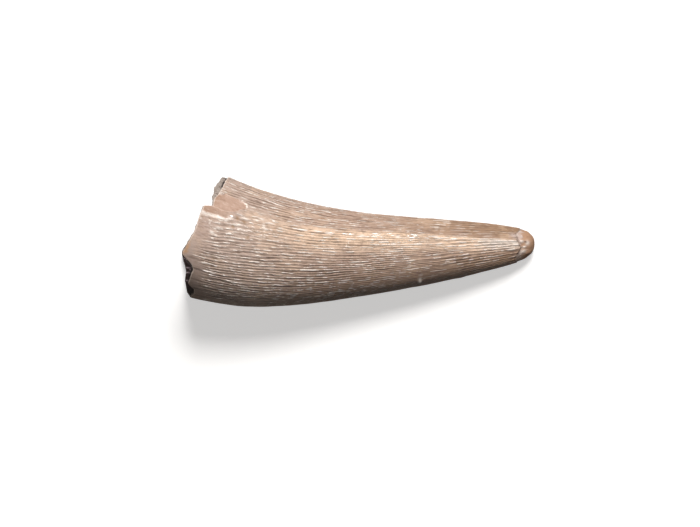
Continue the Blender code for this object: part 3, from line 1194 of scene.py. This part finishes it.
# %% Rubbed crests and flakes, painted pale as glints
def crest_glint_dashes(here, keel_highlight):
    """The broken dashes along the crests, duller on the shaded side and above the keel.

    They are painted pale as glints.
    """
    back = here.spot.back
    turn = here.spot.turn
    dashes = here.spot.noise(0.6, 2.6, 2.0, 0.65, 6.0) + here.short * 0.3 + keel_highlight * 0.25
    dashes = smooth(dashes, 0.12, 0.32)
    dull = smooth(turn, *DULL_SIDE) * (1 - smooth(back, *DULL_SIDE_ENDS))
    first, last = DULL_ABOVE_KEEL
    above_keel = 1 - smooth(turn, here.keel + first, here.keel + last)
    dull = dull + above_keel * (1 - smooth(back, *DULL_ABOVE_KEEL_ENDS))
    return dashes * (1 - 0.75 * dull)


def flakes(here):
    """Crusty flakes on the rough stretch, then bright grains on the ledge below the strip.

    Both are painted pale: the flakes as partly painted glitter, and the grains as a painted
    highlight where the ledge faces the key lamp.
    """
    crusty_glints = smooth(here.spot.noise(1.2, 3.4, 2.0, 0.7, 8.0), 0.35, 0.6) * here.rough
    grains = here.ledge * smooth(here.spot.noise(2.6, 3.6, 2.0, 0.7, 8.0), -0.8, -0.1)
    return crusty_glints, grains


print("gloss coat on the crests, share:", COAT_SHARE)


# %% Bare places, edges and small marks
def bare_colour(here):
    """Pink dentine, browner beside the break, mottled dark and pale."""
    browner = smooth(here.spot.back + here.clouds * 0.8, *BARE_BROWNS)
    return lay_coats(here.tree, mix(here.tree, browner, PATCH_PINK, PATCH_BROWN), [
        (smooth(here.mottled, 0.0, 0.9) * 0.5, MUD_AND_SHADE_BROWN),
        (smooth(here.mottled, 0.0, -0.9) * 0.3, EDGE_PALE),
    ])


def add_edges(here, colour):
    """The stained tongue, the pale broken edge and the brown worn edge."""
    tree = here.tree
    tongue = hump(here.spot.turn, TONGUE, TONGUE_SPREAD)
    colour = mix(tree, tongue * (1 - smooth(here.to_edge, 0.2, 1.6)) * 0.6, colour, BASE_PINK)
    stain = use_group(tree, IRON_STAIN, Position=here.position, Colour=colour, Stain=STAIN_ORANGE,
                      Amount=tongue * (0.6 - 0.6 * smooth(here.to_edge, 0.0, 1.2)))
    broken = use_group(tree, BROKEN_EDGE, Position=here.position, Distance=here.to_edge,
                       Width=BROKEN_LINE)
    past_worn = here.spot.back - worn_back(here.spot)
    worn = use_group(tree, BROKEN_EDGE, Position=here.position, Distance=past_worn,
                     Width=WORN_LINE)
    return lay_coats(tree, stain.outputs["Colour"], [
        (Field(tree, broken.outputs["Share"]) * (0.6 - 0.5 * tongue), EDGE_PALE),
        (Field(tree, worn.outputs["Share"]) * 0.8, WORN_BROWN),
    ])


def add_marks(here, colour):
    """The bruise beside the worn apex, the pits, the pale chips and the painted glints."""
    coats = [(here.spot.mark(*BRUISE) * smooth(here.mottled, -0.6, 0.1), APEX_MAUVE)]
    # the pits are painted brown, and the one beside the fleck is partly painted shade
    coats += [(here.spot.mark(*pit[:4]) * 0.9, APEX_TAN) for pit in PITS]
    coats += [(here.spot.mark(*mark) * 0.9, PALE_CHALK_AND_GLINT) for mark in PALE_CHIPS_AND_GLINTS]
    return lay_coats(here.tree, colour, coats)


print("lines along the broken and the worn edge, mm:", BROKEN_LINE, WORN_LINE)


# %% The enamel's finish
def enamel_finish():
    """The material of the enamel."""
    material, tree = new_material("ridged_enamel")
    here = EnamelSpot(tree)
    keel_cream_and_sheen, keel_highlight = here.keel_band()
    lines = here.ridge_lines()
    dashes = crest_glint_dashes(here, keel_highlight)
    rubbed_glints = dashes * smooth(lines, 0.1, 0.4) * (1 - here.collar)
    crusty_glints, grains = flakes(here)
    gloss = larger(larger(rubbed_glints, crusty_glints), grains)

    colour = ground_colour(here, keel_cream_and_sheen, keel_highlight)
    colour = add_groove_mud_and_shade(here, colour, lines, keel_highlight)
    colour = lay_coats(tree, colour, [
        # Painted glints: the rubbed crests, the flakes and the ledge grains are painted pale,
        # besides their gloss and coat.
        (gloss * 0.9, PALE_CHALK_AND_GLINT),
        (here.bare * 0.95, bare_colour(here)),
        (here.border * smooth(here.fine, -0.7, 0.3), EDGE_PALE),
    ])
    colour = add_marks(here, add_edges(here, colour))

    roughness = GROUND_ROUGHNESS - GLOSS_SMOOTHS * gloss + 0.04 * here.fine
    crest = smooth(lines, 0.0, 0.9) * (CREST_HEIGHT + DASH_HEIGHT * dashes)
    height = here.fine * GRAIN_HEIGHT * (1 - 0.6 * here.collar) + LINE_HEIGHT * lines
    height = height + crusty_glints * FLAKE_HEIGHT + crest * (1 - here.collar)
    shader = feed_shader(tree, colour, roughness, height)
    shader.inputs["IOR"].default_value = ENAMEL_IOR
    shader.inputs["Specular IOR Level"].default_value = ENAMEL_SPECULAR
    plug(tree, gloss * COAT_SHARE, shader.inputs["Coat Weight"])
    shader.inputs["Coat Roughness"].default_value = COAT_ROUGHNESS
    shader.inputs["Coat IOR"].default_value = COAT_IOR
    return material


enamel = enamel_finish()
print("enamel nodes:", len(enamel.node_tree.nodes))

# %% [markdown]
# ## Dentine
#
# Dentine shows in three places. On the worn apex it is polished and orange-brown, with a few
# chalky crumbs of enamel left on it. In the broken wall it is rough and grey. Inside the pulp
# cavity it is painted nearly black, partly a dark stain and partly painted shade, with lilac
# streaks of painted sheen, and the crevice is painted dark as shade. One material holds all
# three, blended by the place in the wall, because they are one tissue and run into each other.

# %% Colours and marks of the dentine
DENTINE_BROWN = (0.52, 0.31, 0.20)
DENTINE_GREY = (0.36, 0.305, 0.27)
# painted shade of the cavity and the crevice, partly a dark stain in the cavity
CAVITY_SHADE_DARK = (0.022, 0.013, 0.012)
# colour of the painted sheen in the cavity
CAVITY_SHEEN_LILAC = (0.36, 0.29, 0.32)

# (turn, distance back, length, width)
CRUMBS = [
    (27.8, 2.2, 1.2, 0.7),
    (78.0, 1.65, 0.7, 0.5),
    (84.0, 0.95, 0.8, 1.0),
    (100.0, 1.35, 0.8, 0.4),
    (118.0, 1.45, 1.0, 0.9),
]
DARK_PIT = (80, 1.2, 0.5, 0.4)
# painted sheen: lilac streaks on the dark cavity wall
LILAC_SHEEN_STREAKS = [
    (228, 43.86, 1.2, 0.35),
    (222, 43.82, 1.2, 0.35),
]

# (where a change starts, where it ends)
BITES_START = (112, 118)  # degrees of turn. In the bites the dark cavity shows.
BITES_END = (205, 230)
CHALK_STARTS = (1.3, 1.9)  # millimetres back
APEX_TO_BASE = (5, 6)  # millimetres back, where no dentine shows
CREVICE_ENDS = (0.22, 0.34)  # millimetres past the enamel's edge

POLISHED_ROUGHNESS = 0.42
BROKEN_ROUGHNESS = 0.62
PIT_HEIGHT = 0.02  # millimetres
CRUMB_HEIGHT = 0.05  # millimetres
print("crumbs of enamel on the apex:", len(CRUMBS))


# %% The worn apex and the broken wall
def largest_mark(spot, share, marks):
    """A share, and 1 on each of the marks."""
    for mark in marks:
        share = larger(share, spot.mark(*mark))
    return share


def apex_colour(tree, spot, fine):
    """The worn apex, with what is left of the enamel, then the share of its crumbs."""
    stain = use_group(tree, IRON_STAIN, Position=read_attribute(tree, "along"),
                      Colour=DENTINE_BROWN, Stain=STAIN_ORANGE, Amount=0.25)
    chalky = smooth(spot.noise(1.2, 1.8, 2.0, 0.6, 7.0) * 0.5 + spot.back, *CHALK_STARTS)
    crumbs = smooth(spot.noise(2.6, 2.6, 2.0, 0.6, 9.0), 0.1, 0.5) * chalky * 0.4
    crumbs = largest_mark(spot, crumbs, CRUMBS)
    pits = smooth(fine, 0.2, 0.9) * chalky
    colour = lay_coats(tree, stain.outputs["Colour"], [
        (chalky * 0.85, APEX_MAUVE),
        (crumbs * 0.9, PALE_CHALK_AND_GLINT),
        (larger(pits * 0.6, spot.mark(*DARK_PIT) * 0.9), GROOVE_BROWN),
        (smooth(fine, -0.2, 0.9) * 0.3, MUD_AND_SHADE_BROWN),
    ])
    return colour, crumbs


def wall_colour(tree, spot, rim, clouds):
    """The grey wall, its dark crevice and the darker cavity, then the cavity's share.

    The crevice and the cavity are painted dark as shade, the cavity partly as a stain, and its
    lilac streaks are painted sheen.
    """
    cracks = spot.noise(2.5, 4.5, 3.0, 0.65, 4.0)
    past_rim = spot.back - broken_back(spot)
    # Painted shade: the crevice is painted nearly black.
    crevice = smooth(crevice_share(spot.turn), 0.2, 0.5) * (1 - smooth(past_rim, *CREVICE_ENDS))
    bitten = smooth(spot.turn, *BITES_START) * (1 - smooth(spot.turn, *BITES_END))
    # Painted shade: the cavity is painted nearly black, partly as a dark stain.
    inner = smooth(rim + clouds * 0.05, 0.72 - 0.66 * bitten, 0.95 - 0.7 * bitten)
    # Painted sheen: lilac streaks across the dark cavity.
    sheen_streaks = smooth(spot.noise(0.7, 1.6, 3.0, 0.6, 2.0), 0.35, 0.8)
    sheen_streaks = largest_mark(spot, sheen_streaks, LILAC_SHEEN_STREAKS)
    colour = lay_coats(tree, DENTINE_GREY, [
        (smooth(cracks, 0.0, 0.8) * 0.7, GROOVE_BROWN),
        (smooth(cracks, -0.1, -0.8) * 0.5, EDGE_PALE),
        (crevice, CAVITY_SHADE_DARK),
        (inner, mix(tree, sheen_streaks, CAVITY_SHADE_DARK, CAVITY_SHEEN_LILAC)),
    ])
    return colour, inner


print("the bites run over", BITES_END[0] - BITES_START[1], "degrees")


# %% The dentine's finish
def dentine_finish():
    """The material of the dentine, from the worn apex to the cavity."""
    material, tree = new_material("bare_dentine")
    spot = Spot(tree, *split(tree, read_attribute(tree, "along")))
    rim, _, _ = split(tree, read_attribute(tree, "wall"))
    clouds, fine = read_grain(tree, 2.2)
    at_base = smooth(spot.back, *APEX_TO_BASE)
    apex, crumbs = apex_colour(tree, spot, fine)
    wall, inner = wall_colour(tree, spot, rim, clouds)
    colour = mix(tree, at_base, apex, wall)
    roughness = blend(at_base, POLISHED_ROUGHNESS, BROKEN_ROUGHNESS) - 0.2 * inner + 0.08 * fine
    height = fine * PIT_HEIGHT * (0.8 + 0.6 * at_base) + crumbs * CRUMB_HEIGHT * (1 - at_base)
    feed_shader(tree, colour, roughness, height)
    return material


dentine = dentine_finish()
print("dentine nodes:", len(dentine.node_tree.nodes))

# %% [markdown]
# ## Make the tooth
#
# A holder object carries the modifier only until the mesh is made. The finished mesh is a plain
# one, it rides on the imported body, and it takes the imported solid's place in the picture.

# %% Run the tree and keep its mesh
def make_tooth():
    """The tooth as a plain mesh object."""
    holder = bpy.data.objects.new("tooth_holder", bpy.data.meshes.new("tooth_holder"))
    bpy.context.scene.collection.objects.link(holder)
    modifier = holder.modifiers.new("Tooth skin", "NODES")
    tree = build_tooth_tree(enamel, dentine)
    modifier.node_group = tree
    for item in tree.interface.items_tree:
        if item.in_out == "INPUT":
            modifier[item.identifier] = SIZES[item.name]
    evaluated = holder.evaluated_get(bpy.context.evaluated_depsgraph_get())
    mesh = bpy.data.meshes.new_from_object(evaluated)
    mesh.name = "tooth_skin"
    if mesh.materials[0] is None:  # the empty slot of the holder's own mesh comes first
        mesh.materials.pop(index=0)
    bpy.data.objects.remove(holder)
    tooth = bpy.data.objects.new("tooth_skin", mesh)
    bpy.context.scene.collection.objects.link(tooth)
    return tooth


tooth = make_tooth()
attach(tooth, "root")
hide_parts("tooth")
print("materials:", [material.name for material in tooth.data.materials])


# %% Measure the tooth
def enclosed_volume(mesh):
    """The volume inside a mesh. It is above 0 only where the faces point outwards."""
    mesh.calc_loop_triangles()
    total = 0.0
    for triangle in mesh.loop_triangles:
        a, b, c = (mesh.vertices[index].co for index in triangle.vertices)
        total += a.dot(b.cross(c)) / 6
    return total


points = [vertex.co for vertex in tooth.data.vertices]
for axis, name in enumerate("XYZ"):
    skin = [MM_PER_METRE * pick(point[axis] for point in points) for pick in (min, max)]
    packed = [MM_PER_METRE * cad_low[axis], MM_PER_METRE * cad_high[axis]]
    print(name, "mm: skin", [round(v, 2) for v in skin], "packed", [round(v, 2) for v in packed])
print("volume, mm3:", round(enclosed_volume(tooth.data) * MM_PER_METRE ** 3, 1))
print("triangles:", len(tooth.data.loop_triangles))

# %% [markdown]
# ## Floor, light and camera
#
# The tooth lies on a pale floor. One soft key lamp stands on its concave side, 50 degrees up, so
# that its light rakes across the ridges. Two small lamps give sheen alone: *spark* beside the
# key, and *window* on the other side, for the glints of the lower ridges. Larger or stronger
# lamps would do it too, but they would wash out the shaded side. A faint warm sky keeps that
# side readable. The camera looks straight down.

# %% Floor
FLOOR_GREY = (0.7, 0.7, 0.7, 1)
FLOOR_ROUGHNESS = 0.9
FLOOR_GLOW = 0.5  # lifts the shadow, as paper on a light table


def pale_floor(reach):
    """A square sheet, this many metres from its middle to each side."""
    mesh = bpy.data.meshes.new("floor")
    corners = [(-reach, -reach, 0), (reach, -reach, 0), (reach, reach, 0), (-reach, reach, 0)]
    mesh.from_pydata(corners, [], [(0, 1, 2, 3)])
    floor = bpy.data.objects.new("floor", mesh)
    bpy.context.scene.collection.objects.link(floor)
    material, tree = new_material("studio_floor")
    shader = tree.nodes["Principled BSDF"]
    shader.inputs["Base Color"].default_value = FLOOR_GREY
    shader.inputs["Roughness"].default_value = FLOOR_ROUGHNESS
    shader.inputs["Emission Color"].default_value = (1, 1, 1, 1)
    shader.inputs["Emission Strength"].default_value = FLOOR_GLOW
    mesh.materials.append(material)
    floor.visible_diffuse = False
    floor.visible_glossy = False
    return floor


pale_floor(1.5)
print("floor reflects", FLOOR_GREY[0], "of the light")

# %% Light
SKY_COLOUR = (1, 0.88, 0.77, 1)
SKY_STRENGTH = 0.08


def soft_lamp(name, azimuth, elevation, distance, size, watts, colour=(1, 1, 1), sheen_only=False):
    """A round lamp that looks at the tooth. Azimuth 90 is the concave side, and 270 the other."""
    light = bpy.data.lights.new(name, "AREA")
    light.shape = "DISK"
    light.size = size
    light.energy = watts
    light.color = colour
    lamp = bpy.data.objects.new(name, light)
    flat = distance * math.cos(math.radians(elevation))
    angle = math.radians(azimuth)
    height = distance * math.sin(math.radians(elevation))
    lamp.location = (flat * math.cos(angle), flat * math.sin(angle), height)
    lamp.rotation_euler = lamp.location.to_track_quat("Z", "Y").to_euler()
    lamp.visible_diffuse = not sheen_only
    bpy.context.scene.collection.objects.link(lamp)


soft_lamp("key", azimuth=82, elevation=50, distance=0.6, size=0.26, watts=4.5,
          colour=(1.0, 0.98, 0.955))
soft_lamp("spark", azimuth=61, elevation=44, distance=0.6, size=0.06, watts=3.4, sheen_only=True)
soft_lamp("window", azimuth=268, elevation=38, distance=0.5, size=0.06, watts=4.0,
          colour=(1.0, 0.94, 0.90), sheen_only=True)
world = bpy.data.worlds.new("studio")
world.use_nodes = True
world.node_tree.nodes["Background"].inputs["Color"].default_value = SKY_COLOUR
world.node_tree.nodes["Background"].inputs["Strength"].default_value = SKY_STRENGTH
bpy.context.scene.world = world
bpy.context.scene.view_settings.view_transform = "Standard"
lamps = [item.name for item in bpy.context.scene.objects if item.type == "LIGHT"]
print("lamps:", lamps)

# %% Camera
CAMERA_PLACE = (-0.00105, -0.00269, 0.606)  # metres
LENS = 246.9  # millimetres
SENSOR_WIDTH = 36.0  # millimetres
NEAREST = 0.01  # metres
view = bpy.data.cameras.new("camera")
view.lens = LENS
view.sensor_width = SENSOR_WIDTH
view.clip_start = NEAREST
camera = bpy.data.objects.new("camera", view)
camera.location = CAMERA_PLACE
bpy.context.scene.collection.objects.link(camera)
bpy.context.scene.camera = camera
seen = MM_PER_METRE * camera.location.z * SENSOR_WIDTH / LENS
print("width of the floor in the picture, mm:", round(seen, 1))
